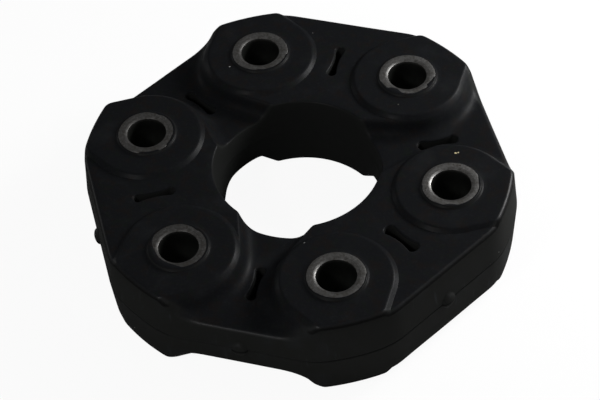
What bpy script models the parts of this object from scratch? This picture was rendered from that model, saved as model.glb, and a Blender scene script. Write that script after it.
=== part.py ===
"""Driveshaft flex disc, in metres, with +Z along the shaft and the origin at the disc's centre.

A rubber body is moulded round six steel sleeves that stand on a bolt circle. Wound cord packs
tie each sleeve to its two neighbours: an upper and a lower pack across each thick drive web,
and one middle pack across each thin coast web. A steel collar ring sits round each end of
every sleeve, over the cord packs, and gives the rubber its round raised bosses.
"""

import math

import bmesh
import bpy
from mathutils import Matrix, Vector

MM = 0.001

# Sleeves on the bolt circle. Drive and coast webs take turns, so sleeves come in pairs.
SLEEVE_PAIRS = 3
BOLT_CIRCLE_RADIUS = 48.0 * MM
SLEEVE_LENGTH = 30.0 * MM
BORE_RADIUS = 6.05 * MM
SLEEVE_WALL = 2.7 * MM
BORE_CHAMFER = 0.45 * MM
SLEEVE_EDGE_CHAMFER = 0.25 * MM
SLEEVE_PROUD = 0.8 * MM  # how far a sleeve end stands above the boss
FIT_GAP = 0.3 * MM  # clearance kept between pieces that are bonded together
CUT_MARGIN = 0.7 * MM  # how far a cutter runs above or below what it cuts

# Collar rings and cord packs, all buried in the rubber
COLLAR_RADIUS = 15.2 * MM
COLLAR_THICKNESS = 1.0 * MM
CORD_THICKNESS = 4.2 * MM  # radial build of a wound pack
COAST_CORD_HEIGHT = 9.0 * MM
CORD_SPACING = 1.6 * MM  # rubber between a coast pack and a drive pack

# Rubber over the buried pieces
BOSS_COVER = 1.9 * MM  # over the flat of a collar
COLLAR_COVER = 1.8 * MM  # round the rim of a collar, to the boss's edge
CORNER_COVER = 2.1 * MM  # round the rim of a collar, to the body's corner
DRIVE_COVER = 1.5 * MM  # over a drive pack
COAST_COVER = 3.3 * MM  # over a coast pack
HOLE_COVER = 2.8 * MM  # between a cord pack and the centre hole
FLAT_COVER = 6.6 * MM  # between a cord pack and the body's flat side

# Shape of the rubber
CORNER_BLEND_RADIUS = 20.0 * MM  # rounds a corner arc into a flat side
WALL_DRAFT = 0.8 * MM  # the outer wall stands this much further out at the parting plane
EDGE_CHAMFER = 0.7 * MM  # along the body's outer edge
BOSS_EDGE = 0.4 * MM  # chamfer round the top of a boss
BOSS_SLOPE_RUN = 1.4 * MM  # from a boss's edge out to the level of the drive webs
BOSS_FLARE = math.radians(60.0)  # from a sleeve's radial line to where the boss's edge goes straight
VALLEY_LEDGE = 0.2 * MM  # flat left between a boss and the wall of a coast valley
VALLEY_WIDTH = 5.8 * MM  # floor of a coast valley at its narrowest
VALLEY_FLARE = math.radians(20.0)  # how much each side of a valley opens towards the hole
VALLEY_FILLET = 1.8 * MM

# Slits and moulding nubs, one at the middle of each web
SLIT_LENGTH = 11.8 * MM
SLIT_END_WIDTH = 2.8 * MM
SLIT_WAIST_WIDTH = 1.2 * MM
SLIT_END_WALL = 0.9 * MM  # rubber between a slit and the outer run of a cord pack
SLIT_FLOOR = 3.0 * MM  # membrane left at the parting plane
NUB_RADIUS = 2.3 * MM
NUB_PROUD = 1.2 * MM
DOME_SPAN = math.radians(65.0)  # of a quarter circle, up to the flat left on a nub's tip

# Facets
ROUND_STEPS = 24
HIDDEN_STEPS = 20
HOLE_STEPS = 48
BLEND_STEPS = 3
CORNER_STEPS = 4
BOSS_ARC_STEPS = 15
VALLEY_ARC_STEPS = 8
FILLET_STEPS = 2
SLIT_STEPS = 4
NUB_STEPS = 8
DOME_STEPS = 2

SLEEVES = 2 * SLEEVE_PAIRS
SECTOR = 2 * math.pi / SLEEVES

# Radii round a sleeve's axis
SLEEVE_RADIUS = BORE_RADIUS + SLEEVE_WALL
CORD_INNER_RADIUS = SLEEVE_RADIUS + FIT_GAP
CORD_OUTER_RADIUS = CORD_INNER_RADIUS + CORD_THICKNESS
BOSS_RADIUS = COLLAR_RADIUS + COLLAR_COVER

# Plan of the body. The web line joins two neighbouring sleeve axes.
HALF_PITCH = BOLT_CIRCLE_RADIUS * math.sin(SECTOR / 2)
WEB_LINE_RADIUS = BOLT_CIRCLE_RADIUS * math.cos(SECTOR / 2)
HOLE_RADIUS = WEB_LINE_RADIUS - CORD_OUTER_RADIUS - HOLE_COVER
FLAT_RADIUS = WEB_LINE_RADIUS + CORD_OUTER_RADIUS + FLAT_COVER
CORNER_RADIUS = BOLT_CIRCLE_RADIUS + COLLAR_RADIUS + CORNER_COVER
BEYOND = 0.5 * CORNER_RADIUS  # how far a cutter's plan runs past what it cuts

# Heights above the parting plane
SLEEVE_TOP = SLEEVE_LENGTH / 2
BOSS_TOP = SLEEVE_TOP - SLEEVE_PROUD
COLLAR_TOP = BOSS_TOP - BOSS_COVER
DRIVE_CORD_TOP = COLLAR_TOP - COLLAR_THICKNESS - FIT_GAP
COAST_CORD_TOP = COAST_CORD_HEIGHT / 2
DRIVE_CORD_BOTTOM = COAST_CORD_TOP + CORD_SPACING
DRIVE_WEB_TOP = DRIVE_CORD_TOP + DRIVE_COVER
COAST_WEB_TOP = COAST_CORD_TOP + COAST_COVER
CUT_TOP = SLEEVE_TOP + CUT_MARGIN  # top of every cutter

RUBBER = ("rubber", (0.012, 0.013, 0.014), 0.62, 0.0)
SLEEVE_STEEL = ("sleeve_steel", (0.30, 0.29, 0.28), 0.42, 1.0)
COLLAR_STEEL = ("collar_steel", (0.36, 0.36, 0.37), 0.5, 1.0)
CORD = ("cord", (0.62, 0.55, 0.40), 0.85, 0.0)


def clear_scene():
    for obj in list(bpy.data.objects):
        bpy.data.objects.remove(obj, do_unlink=True)


def material(finish):
    name, colour, roughness, metallic = finish
    made = bpy.data.materials.get(name) or bpy.data.materials.new(name)
    made.use_nodes = True
    shader = made.node_tree.nodes["Principled BSDF"]
    shader.inputs["Base Color"].default_value = (*colour, 1.0)
    shader.inputs["Roughness"].default_value = roughness
    shader.inputs["Metallic"].default_value = metallic
    return made


def polar(radius, angle):
    return Vector((radius * math.cos(angle), radius * math.sin(angle)))


def arc(centre, radius, start, end, steps):
    """Points along an arc about centre, both ends included."""
    turns = [start + (end - start) * i / steps for i in range(steps + 1)]
    return [centre + polar(radius, turn) for turn in turns]


def circle(radius, steps):
    return arc(Vector((0, 0)), radius, 0, 2 * math.pi, steps)[:-1]


def finished(bm, name):
    """The mesh of bm, with its faces turned outwards and its round sides smooth."""
    bmesh.ops.recalc_face_normals(bm, faces=bm.faces[:])
    mesh = bpy.data.meshes.new(name)
    bm.to_mesh(mesh)
    bm.free()
    mesh.shade_smooth()
    mesh.set_sharp_from_angle(angle=math.radians(30))
    return mesh


def lofted(name, sections):
    """A closed mesh through (outline, height) sections with as many points each."""
    bm = bmesh.new()
    outline, height = sections[0]
    face = bm.faces.new([bm.verts.new((*point, height)) for point in outline])
    for outline, height in sections[1:]:
        grown = bmesh.ops.extrude_face_region(bm, geom=[face, *face.edges])
        face = next(item for item in grown["geom"] if isinstance(item, bmesh.types.BMFace))
        for vertex, point in zip(face.verts, outline):
            vertex.co = (*point, height)
    return finished(bm, name)


def ring_prism(name, inner, outer, bottom, top):
    """A closed ring between an inner and an outer outline with as many points each."""
    bm = bmesh.new()
    inside = [bm.verts.new((*point, bottom)) for point in inner]
    outside = [bm.verts.new((*point, bottom)) for point in outer]
    count = len(inside)
    faces = [
        bm.faces.new((outside[i], outside[(i + 1) % count], inside[(i + 1) % count], inside[i]))
        for i in range(count)
    ]
    grown = bmesh.ops.extrude_face_region(bm, geom=faces)
    raised = [item for item in grown["geom"] if isinstance(item, bmesh.types.BMVert)]
    bmesh.ops.translate(bm, verts=raised, vec=(0, 0, top - bottom))
    return finished(bm, name)


def turned(name, profile, steps):
    """A closed mesh from a closed (radius, height) profile spun about Z."""
    bm = bmesh.new()
    verts = [bm.verts.new((radius, 0, height)) for radius, height in profile]
    edges = [bm.edges.new((verts[i - 1], verts[i])) for i in range(len(verts))]
    bmesh.ops.spin(
        bm,
        geom=verts + edges,
        cent=(0, 0, 0),
        axis=(0, 0, 1),
        angle=2 * math.pi,
        steps=steps,
        use_merge=True,
    )
    return finished(bm, name)


def add_object(name, mesh, parent=None, place=Matrix.Identity(4)):
    obj = bpy.data.objects.new(name, mesh)
    bpy.context.scene.collection.objects.link(obj)
    obj.parent = parent
    obj.matrix_basis = place
    return obj


def add_part(name, mesh, finish, parent, place=Matrix.Identity(4)):
    if not mesh.materials:
        mesh.materials.append(material(finish))
    return add_object(name, mesh, parent, place)


def add_cutter(name, mesh, collection, place=Matrix.Identity(4)):
    """A helper that a Boolean reads and a render leaves out."""
    cutter = bpy.data.objects.new(name, mesh)
    collection.objects.link(cutter)
    cutter.matrix_basis = place
    cutter.hide_render = True
    cutter.display_type = "WIRE"
    return cutter


def new_collection(name):
    made = bpy.data.collections.new(name)
    bpy.context.scene.collection.children.link(made)
    return made


def add_boolean(obj, operation, collection):
    step = obj.modifiers.new(f"{operation.lower()} {collection.name}", "BOOLEAN")
    step.operation = operation
    step.operand_type = "COLLECTION"
    step.collection = collection
    step.solver = "EXACT"


def turn(angle):
    return Matrix.Rotation(angle, 4, "Z")


def at_sleeve(index, height=0.0):
    """The place of sleeve index, with X pointing away from the disc's centre."""
    return turn(index * SECTOR) @ Matrix.Translation((BOLT_CIRCLE_RADIUS, 0, height))


def at_web(index, underside=False):
    """The frame of web index, with X along its middle line, and turned over for the underside."""
    flip = Matrix.Rotation(math.pi if underside else 0.0, 4, "X")
    return turn((index + 0.5) * SECTOR) @ flip


def is_coast(web):
    """Coast webs follow sleeves 1, 3 and 5. Drive webs follow sleeves 2, 4 and 6."""
    return web % 2 == 0


def sleeve_mesh():
    inner, outer = BORE_RADIUS, SLEEVE_RADIUS
    wide = inner + BORE_CHAMFER
    narrow = outer - SLEEVE_EDGE_CHAMFER
    profile = [
        (inner, -SLEEVE_TOP + BORE_CHAMFER),
        (wide, -SLEEVE_TOP),
        (narrow, -SLEEVE_TOP),
        (outer, -SLEEVE_TOP + SLEEVE_EDGE_CHAMFER),
        (outer, SLEEVE_TOP - SLEEVE_EDGE_CHAMFER),
        (narrow, SLEEVE_TOP),
        (wide, SLEEVE_TOP),
        (inner, SLEEVE_TOP - BORE_CHAMFER),
    ]
    return turned("sleeve", profile, ROUND_STEPS)


def collar_mesh():
    inner = SLEEVE_RADIUS + FIT_GAP
    half = COLLAR_THICKNESS / 2
    profile = [(inner, -half), (COLLAR_RADIUS, -half), (COLLAR_RADIUS, half), (inner, half)]
    return turned("collar", profile, HIDDEN_STEPS)


def pack_outline(radius):
    """A racetrack round both sleeves of a web, in the web's frame."""
    steps = HIDDEN_STEPS // 2
    left = Vector((WEB_LINE_RADIUS, HALF_PITCH))
    right = Vector((WEB_LINE_RADIUS, -HALF_PITCH))
    return arc(left, radius, 0, math.pi, steps) + arc(right, radius, math.pi, 2 * math.pi, steps)


def pack_mesh(name, bottom, top, grow=0.0):
    """A wound cord pack, or the room for one in the rubber where grow is above 0."""
    inner = pack_outline(CORD_INNER_RADIUS - grow)
    outer = pack_outline(CORD_OUTER_RADIUS + grow)
    return ring_prism(name, inner, outer, bottom - grow, top + grow)


def add_sleeves(disc):
    mesh = sleeve_mesh()
    for i in range(SLEEVES):
        add_part(f"sleeve_{i + 1}", mesh, SLEEVE_STEEL, disc, at_sleeve(i))


def add_collars(disc):
    mesh = collar_mesh()
    height = COLLAR_TOP - COLLAR_THICKNESS / 2
    for i in range(SLEEVES):
        add_part(f"upper_collar_{i + 1}", mesh, COLLAR_STEEL, disc, at_sleeve(i, height))
        add_part(f"lower_collar_{i + 1}", mesh, COLLAR_STEEL, disc, at_sleeve(i, -height))


def add_cord_packs(disc):
    coast = pack_mesh("coast_cord_pack", -COAST_CORD_TOP, COAST_CORD_TOP)
    drive = pack_mesh("drive_cord_pack", DRIVE_CORD_BOTTOM, DRIVE_CORD_TOP)
    for web in range(SLEEVES):
        number = web // 2 + 1
        if is_coast(web):
            add_part(f"coast_cord_pack_{number}", coast, CORD, disc, at_web(web))
        else:
            add_part(f"upper_drive_cord_pack_{number}", drive, CORD, disc, at_web(web))
            add_part(f"lower_drive_cord_pack_{number}", drive, CORD, disc, at_web(web, True))


def body_outline(grow):
    """The body's plan: corner arcs about the disc's centre, blended into straight flats."""
    blend = CORNER_BLEND_RADIUS
    reach = CORNER_RADIUS - blend
    spread = math.acos((FLAT_RADIUS - blend) / reach)
    points = []
    for i in range(SLEEVES):
        before = (i - 0.5) * SECTOR
        after = (i + 0.5) * SECTOR
        leaving = before + spread
        arriving = after - spread
        points += arc(polar(reach, leaving), blend + grow, before, leaving, BLEND_STEPS)
        points += arc(Vector((0, 0)), CORNER_RADIUS + grow, leaving, arriving, CORNER_STEPS)[1:-1]
        points += arc(polar(reach, arriving), blend + grow, arriving, after, BLEND_STEPS)
    return points


def body_block():
    """The body's full outer block, widest at the parting plane."""
    rim = BOSS_TOP - EDGE_CHAMFER
    draft_at_rim = WALL_DRAFT * (1 - rim / BOSS_TOP)
    sections = [
        (body_outline(-EDGE_CHAMFER), -BOSS_TOP),
        (body_outline(draft_at_rim), -rim),
        (body_outline(WALL_DRAFT), 0),
        (body_outline(draft_at_rim), rim),
        (body_outline(-EDGE_CHAMFER), BOSS_TOP),
    ]
    return lofted("rubber_body", sections)


def boss_outline(radius):
    """A boss's plan in its sleeve's frame: an arc whose tangents meet beyond the body's corner."""
    centre = Vector((BOLT_CIRCLE_RADIUS, 0))
    tip = centre + Vector((radius / math.cos(BOSS_FLARE), 0))
    return arc(centre, radius, BOSS_FLARE, 2 * math.pi - BOSS_FLARE, BOSS_ARC_STEPS) + [tip]


def boss_plug():
    """Keeps one boss out of the recess cutter. It widens down past the level of the drive webs."""
    edge = BOSS_RADIUS + BOSS_EDGE
    shoulder = BOSS_TOP - BOSS_EDGE
    slope = (BOSS_SLOPE_RUN - BOSS_EDGE) / (shoulder - DRIVE_WEB_TOP)
    base = DRIVE_WEB_TOP - CUT_MARGIN
    sections = [
        (boss_outline(edge + slope * (shoulder - base)), base),
        (boss_outline(edge), shoulder),
        (boss_outline(BOSS_RADIUS), BOSS_TOP),
        (boss_outline(BOSS_RADIUS), CUT_TOP + CUT_MARGIN),
    ]
    return lofted("boss_plug", sections)


def recess_plate():
    """The slab above the webs, from which the bosses are left standing."""
    outline = circle(CORNER_RADIUS + BEYOND, HOLE_STEPS)
    return lofted("recess_plate", [(outline, DRIVE_WEB_TOP), (outline, CUT_TOP)])


def valley_outline(radius):
    """The plan of a coast valley in its web's frame, as far as radius from both sleeves."""
    centre = Vector((WEB_LINE_RADIUS, HALF_PITCH))
    arriving = -math.pi / 2 - VALLEY_FLARE
    leaving = SECTOR / 2 - BOSS_FLARE
    side = arc(centre, radius, arriving, leaving, VALLEY_ARC_STEPS)
    inner_end = side[0] + polar(BEYOND, math.pi - VALLEY_FLARE)
    outer_end = side[-1] + polar(BEYOND, leaving + math.pi / 2)
    left = [inner_end] + side + [outer_end]
    right = [Vector((point.x, -point.y)) for point in reversed(left)]
    return left + right


def valley_mesh():
    """The cutter of one coast valley: sloping walls that run out in a fillet on its floor."""
    rim = BOSS_RADIUS + BOSS_SLOPE_RUN + VALLEY_LEDGE
    foot = HALF_PITCH - VALLEY_WIDTH / 2
    fillet = min(VALLEY_FILLET, DRIVE_WEB_TOP - COAST_WEB_TOP)
    sections = []
    for i in range(FILLET_STEPS + 1):
        angle = math.pi / 2 * i / FILLET_STEPS
        radius = foot - fillet * math.sin(angle)
        sections.append((valley_outline(radius), COAST_WEB_TOP + fillet * (1 - math.cos(angle))))
    sections.append((valley_outline(rim), DRIVE_WEB_TOP))
    sections.append((valley_outline(rim), CUT_TOP))
    return lofted("coast_valley", sections)


def slit_outline():
    """A dog-bone: round ends and a narrow waist, centred between the runs of the cord packs."""
    end_radius = SLIT_END_WIDTH / 2
    waist = SLIT_WAIST_WIDTH / 2
    reach = SLIT_LENGTH / 2 - end_radius
    middle = WEB_LINE_RADIUS + CORD_INNER_RADIUS - SLIT_END_WALL - SLIT_LENGTH / 2
    outer = arc(Vector((middle + reach, 0)), end_radius, -math.pi / 2, math.pi / 2, SLIT_STEPS)
    side = []
    for i in range(1, SLIT_STEPS):
        share = 1 - 2 * i / SLIT_STEPS
        width = waist + (end_radius - waist) * share * share
        side.append(Vector((middle + reach * share, width)))
    inner = arc(Vector((middle - reach, 0)), end_radius, math.pi / 2, 3 * math.pi / 2, SLIT_STEPS)
    other = [Vector((point.x, -point.y)) for point in reversed(side)]
    return outer + side + inner + other


def slit_mesh():
    outline = slit_outline()
    return lofted("slit", [(outline, SLIT_FLOOR / 2), (outline, CUT_TOP)])


def sleeve_room():
    """Room in the rubber for one sleeve and its two collars."""
    bore = circle(SLEEVE_RADIUS + FIT_GAP, HIDDEN_STEPS)
    wide = circle(COLLAR_RADIUS + FIT_GAP, HIDDEN_STEPS)
    high = COLLAR_TOP + FIT_GAP
    low = COLLAR_TOP - COLLAR_THICKNESS - FIT_GAP
    sections = [(bore, -CUT_TOP), (bore, -high), (wide, -high), (wide, -low), (bore, -low)]
    sections += [(bore, low), (wide, low), (wide, high), (bore, high), (bore, CUT_TOP)]
    return lofted("sleeve_room", sections)


def nub_mesh():
    """A low domed nub that stands on the body's flat side, along Z."""
    wall = FLAT_RADIUS + WALL_DRAFT
    sections = [(circle(NUB_RADIUS, NUB_STEPS), wall - NUB_RADIUS)]
    for i in range(DOME_STEPS + 1):
        rise = DOME_SPAN * i / DOME_STEPS
        height = NUB_PROUD * math.sin(rise) / math.sin(DOME_SPAN)
        sections.append((circle(NUB_RADIUS * math.cos(rise), NUB_STEPS), wall + height))
    return lofted("nub", sections)


def add_face_cutters(cuts):
    """The recess and the coast valleys of both faces."""
    plugs = new_collection("boss plugs")
    plug = boss_plug()
    for i in range(SLEEVES):
        add_cutter(f"boss_plug_{i + 1}", plug, plugs, turn(i * SECTOR))
    over = Matrix.Rotation(math.pi, 4, "X")
    lower_plugs = new_collection("lower boss plugs")
    for i in range(SLEEVES):
        add_cutter(f"lower_boss_plug_{i + 1}", plug, lower_plugs, over @ turn(i * SECTOR))
    plate = recess_plate()
    add_boolean(add_cutter("upper_recess", plate, cuts), "DIFFERENCE", plugs)
    add_boolean(add_cutter("lower_recess", plate.copy(), cuts, over), "DIFFERENCE", lower_plugs)
    valley = valley_mesh()
    for web in filter(is_coast, range(SLEEVES)):
        add_cutter(f"upper_valley_{web + 1}", valley, cuts, at_web(web))
        add_cutter(f"lower_valley_{web + 1}", valley, cuts, at_web(web, True))


def add_inner_cutters(cuts):
    """The centre hole, the slits, and the room for every piece that the rubber holds."""
    hole = circle(HOLE_RADIUS, HOLE_STEPS)
    add_cutter("centre_hole", lofted("centre_hole", [(hole, -CUT_TOP), (hole, CUT_TOP)]), cuts)
    room = sleeve_room()
    slit = slit_mesh()
    coast = pack_mesh("coast_pack_room", -COAST_CORD_TOP, COAST_CORD_TOP, FIT_GAP)
    drive = pack_mesh("drive_pack_room", DRIVE_CORD_BOTTOM, DRIVE_CORD_TOP, FIT_GAP)
    for i in range(SLEEVES):
        add_cutter(f"sleeve_room_{i + 1}", room, cuts, at_sleeve(i))
        add_cutter(f"upper_slit_{i + 1}", slit, cuts, at_web(i))
        add_cutter(f"lower_slit_{i + 1}", slit, cuts, at_web(i, True))
        if is_coast(i):
            add_cutter(f"coast_pack_room_{i + 1}", coast, cuts, at_web(i))
        else:
            add_cutter(f"upper_drive_pack_room_{i + 1}", drive, cuts, at_web(i))
            add_cutter(f"lower_drive_pack_room_{i + 1}", drive, cuts, at_web(i, True))


def add_rubber_body(disc):
    body = add_part("rubber_body", body_block(), RUBBER, disc)
    nubs = new_collection("nubs")
    nub = nub_mesh()
    lay_down = Matrix.Rotation(math.pi / 2, 4, "Y")
    for web in range(SLEEVES):
        add_cutter(f"nub_{web + 1}", nub, nubs, at_web(web) @ lay_down)
    cuts = new_collection("cuts")
    add_face_cutters(cuts)
    add_inner_cutters(cuts)
    add_boolean(body, "UNION", nubs)
    add_boolean(body, "DIFFERENCE", cuts)


def main():
    clear_scene()
    disc = add_object("flex_disc", None)
    add_rubber_body(disc)
    add_sleeves(disc)
    add_collars(disc)
    add_cord_packs(disc)


main()
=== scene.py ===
# Looks for the driveshaft flex disc: moulded rubber body, bolt sleeves with rubber flash, studio.
import math

import bmesh
import bpy
import numpy as np
from mathutils import Matrix, Vector, noise
from mathutils.geometry import delaunay_2d_cdt


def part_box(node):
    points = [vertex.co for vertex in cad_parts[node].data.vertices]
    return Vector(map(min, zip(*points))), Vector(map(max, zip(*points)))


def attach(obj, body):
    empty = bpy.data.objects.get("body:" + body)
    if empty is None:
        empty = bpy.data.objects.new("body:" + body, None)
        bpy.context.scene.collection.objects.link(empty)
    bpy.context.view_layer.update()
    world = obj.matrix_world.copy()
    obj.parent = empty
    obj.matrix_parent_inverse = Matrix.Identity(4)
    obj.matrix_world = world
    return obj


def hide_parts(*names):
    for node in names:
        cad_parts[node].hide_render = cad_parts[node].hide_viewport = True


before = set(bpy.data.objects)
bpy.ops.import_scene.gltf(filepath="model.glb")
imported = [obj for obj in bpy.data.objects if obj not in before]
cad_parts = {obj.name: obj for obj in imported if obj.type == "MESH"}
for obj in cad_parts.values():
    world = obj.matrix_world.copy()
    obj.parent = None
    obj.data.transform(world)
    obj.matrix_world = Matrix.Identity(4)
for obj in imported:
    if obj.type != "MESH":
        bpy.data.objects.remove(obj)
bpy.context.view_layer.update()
mm = 0.001                                     # every size below is in millimetres
sleeveLow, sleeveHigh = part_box("sleeve_1")
boltRadius = (sleeveLow.x + sleeveHigh.x) / 2 / mm
sleeveRadius = (sleeveHigh.y - sleeveLow.y) / 2 / mm
sleeveTop = sleeveHigh.z / mm
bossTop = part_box("rubber_body")[1].z / mm
sleeveCount = 6
sector = 360 / sleeveCount                     # degrees
webAngle = sector / 2                          # from a sleeve's radial line to a web's middle line
sleeveAxis = np.array([boltRadius, 0.0])       # in a sector's own frame, with X along the radial line
print("frame loaded:", len(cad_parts), "nodes")


# Small geometry helpers
def direction(degrees):
    return np.array([math.cos(math.radians(degrees)), math.sin(math.radians(degrees))])


def arcPoints(centre, radius, start, end, step):
    count = max(2, round(abs(end - start) / step) + 1)
    return [np.asarray(centre) + radius * direction(turn) for turn in np.linspace(start, end, count)]


def straightPoints(start, end, step):
    count = max(2, round(np.linalg.norm(end - start) / step) + 1)
    return [start + (end - start) * share for share in np.linspace(0, 1, count)]


def smoothStep(value, low, high):
    share = np.clip((value - low) / (high - low), 0, 1)
    return share * share * (3 - 2 * share)


def smoothMin(first, second, width):
    share = np.clip(0.5 + 0.5 * (second - first) / width, 0, 1)
    return second * (1 - share) + first * share - width * share * (1 - share)


def makeObject(name, verts, faces, origin=(0, 0, 0), smoothAngle=30):
    mesh = bpy.data.meshes.new(name)
    mesh.from_pydata([tuple(np.asarray(v) * mm) for v in verts], [], faces)
    mesh.validate()
    mesh.shade_smooth()
    mesh.set_sharp_from_angle(angle=math.radians(smoothAngle))
    made = bpy.data.objects.new(name, mesh)
    made.location = Vector(origin) * mm
    bpy.context.scene.collection.objects.link(made)
    return made


# Shader helpers: a Wire is an output socket that takes part in sums
class Wire:
    def __init__(self, recipe, socket):
        self.recipe = recipe
        self.socket = socket

    def maths(self, kind, first, second):
        return self.recipe.node("ShaderNodeMath", {"operation": kind}, {0: first, 1: second})

    def __add__(self, other):
        return self.maths("ADD", self, other)

    def __radd__(self, other):
        return self.maths("ADD", other, self)

    def __sub__(self, other):
        return self.maths("SUBTRACT", self, other)

    def __rsub__(self, other):
        return self.maths("SUBTRACT", other, self)

    def __mul__(self, other):
        return self.maths("MULTIPLY", self, other)

    def __rmul__(self, other):
        return self.maths("MULTIPLY", other, self)

    def __pow__(self, other):
        return self.maths("POWER", self, other)


class Recipe:
    def __init__(self, name, **constants):
        self.material = bpy.data.materials.new(name)
        self.material.use_nodes = True
        self.tree = self.material.node_tree
        self.shader = self.tree.nodes["Principled BSDF"]
        for label, value in constants.items():
            self.shader.inputs[label.replace("_", " ")].default_value = value

    def node(self, kind, settings, values, output=0):
        made = self.tree.nodes.new(kind)
        for label, value in settings.items():
            setattr(made, label, value)
        for label, value in values.items():
            self.plug(value, made.inputs[label])
        return Wire(self, made.outputs[output])

    def plug(self, value, socket):
        if isinstance(value, Wire):
            self.tree.links.new(value.socket, socket)
        else:
            socket.default_value = value

    def feed(self, label, value):
        self.plug(value, self.shader.inputs[label])

    def place(self):
        return self.node("ShaderNodeTexCoord", {}, {}, "Object")

    def shifted(self, distance):
        values = {0: self.place(), 1: (distance,) * 3}
        return self.node("ShaderNodeVectorMath", {"operation": "ADD"}, values, "Vector")

    def apart(self, spot):                            # distance from a spot given in mm
        values = {0: self.place(), 1: tuple(level * mm for level in spot)}
        return self.node("ShaderNodeVectorMath", {"operation": "DISTANCE"}, values, "Value")

    def axes(self, vector):
        return [self.node("ShaderNodeSeparateXYZ", {}, {0: vector}, axis) for axis in range(3)]

    def unsigned(self, value):
        return self.node("ShaderNodeMath", {"operation": "ABSOLUTE"}, {0: value})

    def grain(self, size, detail, rough, where=None):     # noise with features about size mm across
        values = {"Vector": where or self.place(), "Scale": 1 / (size * mm)}
        values.update({"Detail": detail, "Roughness": rough})
        return self.node("ShaderNodeTexNoise", {}, values, "Fac")

    def above(self, value, low, high):                # 0 below low, 1 above high, smooth between
        values = {0: value, 1: low, 2: high, 3: 0.0, 4: 1.0}
        return self.node("ShaderNodeMapRange", {"interpolation_type": "SMOOTHSTEP"}, values)

    def past(self, value, low, high):                 # the same with low and high in mm
        return self.above(value, low * mm, high * mm)

    def mix(self, share, first, second):
        return self.node("ShaderNodeMix", {"data_type": "RGBA"}, {0: share, 6: first, 7: second}, 2)

    def bump(self, height, distance, strength=1.0, under=None):
        values = {"Height": height, "Distance": distance * mm, "Strength": strength}
        if under:
            values["Normal"] = under
        return self.node("ShaderNodeBump", {}, values, "Normal")


# Rubber body: plan and levels of the moulding
body = {
    "cornerRadius": 65.7,
    "flatRadius": 61.95,
    "cornerBlend": 20.0,       # rounds a corner arc into a flat side
    "draft": 1.1,              # the wall stands this much further out at the parting line
    "draftFade": 3.0,          # the lean of the draft ends this far inside the wall
    "holeRadius": 25.5,
    "driveTop": 13.0,
    "coastTop": 7.8,
    "edgeRound": 1.25,
    "holeRound": 0.7,
    "holeFlash": 0.03,         # the parting line stands this much into the hole
    "slitRound": 0.55,
    "seatRound": 0.2,
    "seatGap": 0.1,            # from a sleeve to the rubber round it
    "rampReach": 10.9,         # the rubber climbs towards the sleeve inside this radius
    "rampRise": 0.22,
    "bossStart": 16.0,         # radius where a boss begins to round off
    "bossRound": 1.4,
    "bossFillet": 0.3,
    "bossSlope": 42.0,
    "bossFlare": 60.0,         # from the radial line to where a boss's edge goes straight
    "valleyFoot": 23.6,        # radius where a valley's floor begins
    "valleyFillet": 5.0,
    "valleySlope": 65.0,
    "valleyTurn": 140.0,       # from the radial line to where a valley's edge goes straight
    "ledgeBlend": 0.8,         # rounds a boss and a drive web into the valley's slope
    "slitFloor": 1.5,          # half the thickness of the skin that closes the slits
    "slitMiddle": 44.3,        # from the disc's centre
    "slitEnd": 1.38,           # radius of its round ends
    "slitWaist": 0.8,
    "slitReach": 4.9,          # from its middle to the centre of an end
    "nubRadius": 2.5,
    "nubProud": 1.2,
    "nubFoot": 1.15,           # rows of points follow a nub out to this share of its radius
    "nubFullness": 0.8,        # below 1 a nub is fuller than half a ball
    "seamDepth": 0.3,
    "seamWidth": 0.36,
    "smoothAngle": 50,         # edges sharper than this stay sharp, in degrees
}
meshing = {                    # how closely the mesh follows the moulding, in mm or degrees of turn
    "nubSpacing": 0.33,        # along the outer wall, beside a nub
    "nubReach": 1.3,           # out to this share of the nub's radius
    "wallSpacing": 0.7,        # along the rest of the outer wall
    "straightSpacing": 1.2,
    "middleSpacing": 1.25,
    "middleSpan": (20, 70),    # a web's middle line, from the disc's centre
    "ringTurn": 4,
    "holeTurn": 1.25,
    "holeChord": 0.7,          # a little over half of holeTurn: chords of the hole's edge count as edge
    "edgeRows": 7,             # rows of points over each rounded edge
    "holeRows": 4,
    "slitRows": 5,
    "seatRows": 3,
    "slitPoints": 34,
    "stepTurns": 7,            # points over each bend of a boss's step
    "valleyTurns": 8,
    "rings": (9.2, 9.5, 9.8, 10.1, 10.5, body["rampReach"], 12.4, 14.2, 15.6, 16.2),
    "bossLines": 10,
    "bossRun": 22,             # straight run at the ends of a boss's and a valley's lines
    "valleyLines": 18,
    "valleySpan": (17.2, 23.7),
    "valleyRun": 16,
    "fillSpacing": 2.4,        # loose points over the flat stretches
    "fillRow": 0.87,           # share of the spacing from one row to the next
    "fillClearance": 1.1,
    "fillAcross": (22, 68),
    "fillAlong": (-34, 34),
    "wallShares": (0.3, 0.6, 0.85),               # rows down the outer wall, from its top to a nub's top
    "wallLevels": (2.3, 2.0, 1.7, 1.4, 1.1, 0.8),     # and on down to the seam
    "seamLevels": (body["seamWidth"], 0.12, 0.0),
    "touching": 0.001,         # points this close to a line lie on it
    "merging": 0.004,
}


def stepProfile(start, top, bottom, convex, concave, slope):
    # radius and height down a step: convex round, straight slope, concave fillet
    turn = math.radians(slope)
    turns = np.linspace(0, turn, meshing["stepTurns"])
    upperR = start + convex * np.sin(turns)
    upperZ = top - convex * (1 - np.cos(turns))
    rest = top - bottom - (convex + concave) * (1 - math.cos(turn))
    footR = upperR[-1] + rest / math.tan(turn) + concave * math.sin(turn)
    lowerR = footR - concave * np.sin(turns[::-1])
    lowerZ = bottom + concave * (1 - np.cos(turns[::-1]))
    return np.concatenate([upperR, lowerR]), np.concatenate([upperZ, lowerZ])


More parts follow.
